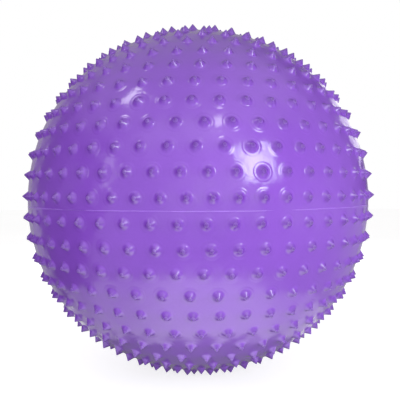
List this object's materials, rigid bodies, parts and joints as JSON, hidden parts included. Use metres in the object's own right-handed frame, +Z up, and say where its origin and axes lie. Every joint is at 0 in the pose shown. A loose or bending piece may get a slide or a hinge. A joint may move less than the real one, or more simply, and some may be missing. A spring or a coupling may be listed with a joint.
{
  "type": "massage ball",
  "caption": "Large hollow inflatable vinyl ball covered in level rows of short pointed spikes, with a level parting line and a plugged air valve at the top.",
  "frame": {"origin": "the centre of the blown-up ball", "axes": "+Z up through the air valve, square to the parting line; -Y is the front that the rows are set out from"},
  "size_m": [0.6696, 0.6688, 0.6649],
  "materials": {
    "skin": "glossy soft vinyl, violet, slightly milky",
    "seam": "the skin's own vinyl, left a little duller where the mould halves met",
    "seat": "thick soft vinyl, satin",
    "plug": "milky white soft plastic, satin"
  },
  "bodies": {
    "ball": {"skin_upper": "skin", "skin_lower": "skin", "parting_line": "seam", "valve_seat": "seat", "spikes_upper_01": "skin", "spikes_upper_02": "skin", "spikes_upper_03": "skin", "spikes_upper_04": "skin", "spikes_upper_05": "skin", "spikes_upper_06": "skin", "spikes_upper_07": "skin", "spikes_upper_08": "skin", "spikes_upper_09": "skin", "spikes_upper_10": "skin", "spikes_upper_11": "skin", "spikes_upper_12": "skin", "spikes_upper_13": "skin", "spikes_lower_01": "skin", "spikes_lower_02": "skin", "spikes_lower_03": "skin", "spikes_lower_04": "skin", "spikes_lower_05": "skin", "spikes_lower_06": "skin", "spikes_lower_07": "skin", "spikes_lower_08": "skin", "spikes_lower_09": "skin", "spikes_lower_10": "skin", "spikes_lower_11": "skin", "spikes_lower_12": "skin", "spikes_lower_13": "skin"},
    "plug": {"valve_plug": "plug"}
  },
  "joints": [
    {"name": "plug_pull", "type": "slide", "parent": "ball", "child": "plug", "axis": [0, 0, 1], "range_m": [0, 0.03]}
  ]
}
